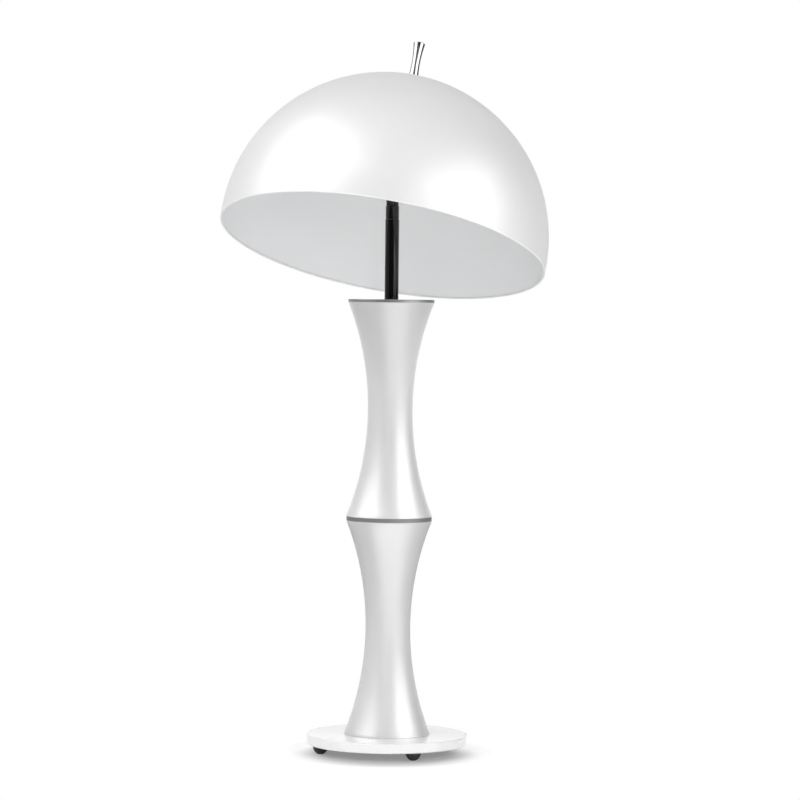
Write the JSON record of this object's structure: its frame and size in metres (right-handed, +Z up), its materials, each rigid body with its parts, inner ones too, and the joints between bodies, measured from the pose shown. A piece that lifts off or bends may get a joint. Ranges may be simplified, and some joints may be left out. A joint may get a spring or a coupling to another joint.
{
  "type": "table lamp",
  "caption": "Tall white table lamp: waisted stacked columns on a footed disc, and a dome shade that swivels and tilts on a short dark stem, aimed by a finial.",
  "frame": {"origin": "on the table under the columns' axis, midway between the feet", "axes": "+Z up along the columns, +Y to the rear where the cord comes in, +X to the right seen from the front"},
  "size_m": [0.3603, 0.3546, 0.7834],
  "materials": {
    "base_lacquer": "gloss white lacquer",
    "column_lacquer": "satin white lacquer",
    "shade_lacquer": "satin white lacquer on spun aluminium",
    "foot_rubber": "moulded black rubber",
    "satin_metal": "satin metal",
    "polished_plate": "polished",
    "dark_polish": "dark polished plating",
    "finial_polish": "polished",
    "black_nylon": "matt",
    "clear_nylon": "matt",
    "zinc_steel": "zinc plated",
    "centring_plastic": "matt",
    "cluster_casting": "painted white",
    "brass_thread": "plain",
    "socket_moulding": "moulded",
    "bulb_base": "rolled thread",
    "opal_glass": "opal",
    "switch_moulding": "moulded"
  },
  "bodies": {
    "stand": {"base_plate": "base_lacquer", "foot_front_right": "foot_rubber", "foot_rear_right": "foot_rubber", "foot_rear_left": "foot_rubber", "foot_front_left": "foot_rubber", "stud_front_right": "zinc_steel", "stud_rear_right": "zinc_steel", "stud_rear_left": "zinc_steel", "stud_front_left": "zinc_steel", "cord_bush": "black_nylon", "base_washer": "zinc_steel", "base_nut": "zinc_steel", "centring_disc": "centring_plastic", "lower_column": "column_lacquer", "joint_ring": "satin_metal", "upper_column": "column_lacquer", "column_cap": "polished_plate", "tie_tube": "zinc_steel", "stem_tube": "dark_polish", "stem_bush": "dark_polish", "swivel_washer": "black_nylon"},
    "swivel": {"lower_knuckle": "dark_polish", "keeper_nut": "zinc_steel", "pivot_screw": "zinc_steel", "friction_washer": "black_nylon", "pivot_washer": "zinc_steel", "pivot_nut": "zinc_steel"},
    "head": {"upper_knuckle": "dark_polish", "cluster_cover": "cluster_casting", "cluster_body": "cluster_casting", "left_nipple": "brass_thread", "left_socket": "socket_moulding", "left_screw_shell": "brass_thread", "left_bulb_cap": "bulb_base", "left_bulb": "opal_glass", "right_nipple": "brass_thread", "right_socket": "socket_moulding", "right_screw_shell": "brass_thread", "right_bulb_cap": "bulb_base", "right_bulb": "opal_glass", "switch_body": "switch_moulding", "switch_nut": "zinc_steel", "shade_rod": "zinc_steel", "rod_nut": "zinc_steel", "shade_nut": "zinc_steel", "shade_washer": "zinc_steel", "shade_dome": "shade_lacquer", "finial_washer": "clear_nylon", "finial": "finial_polish"},
    "switch": {"switch_knob": "switch_moulding"}
  },
  "joints": [
    {"name": "shade_swivel", "type": "hinge", "parent": "stand", "child": "swivel", "pos_m": [0, 0, 0.586], "axis": [0, 0, 1], "range_deg": [-170, 170]},
    {"name": "shade_tilt", "type": "hinge", "parent": "swivel", "child": "head", "pos_m": [0, 0, 0.6172], "axis": [0.9895, -0.1444, 0], "range_deg": [-22, 58]},
    {"name": "switch_turn", "type": "hinge", "parent": "head", "child": "switch", "pos_m": [-0.00256, -0.01753, 0.65976], "axis": [-0.1373, -0.9411, 0.309], "continuous": true}
  ]
}
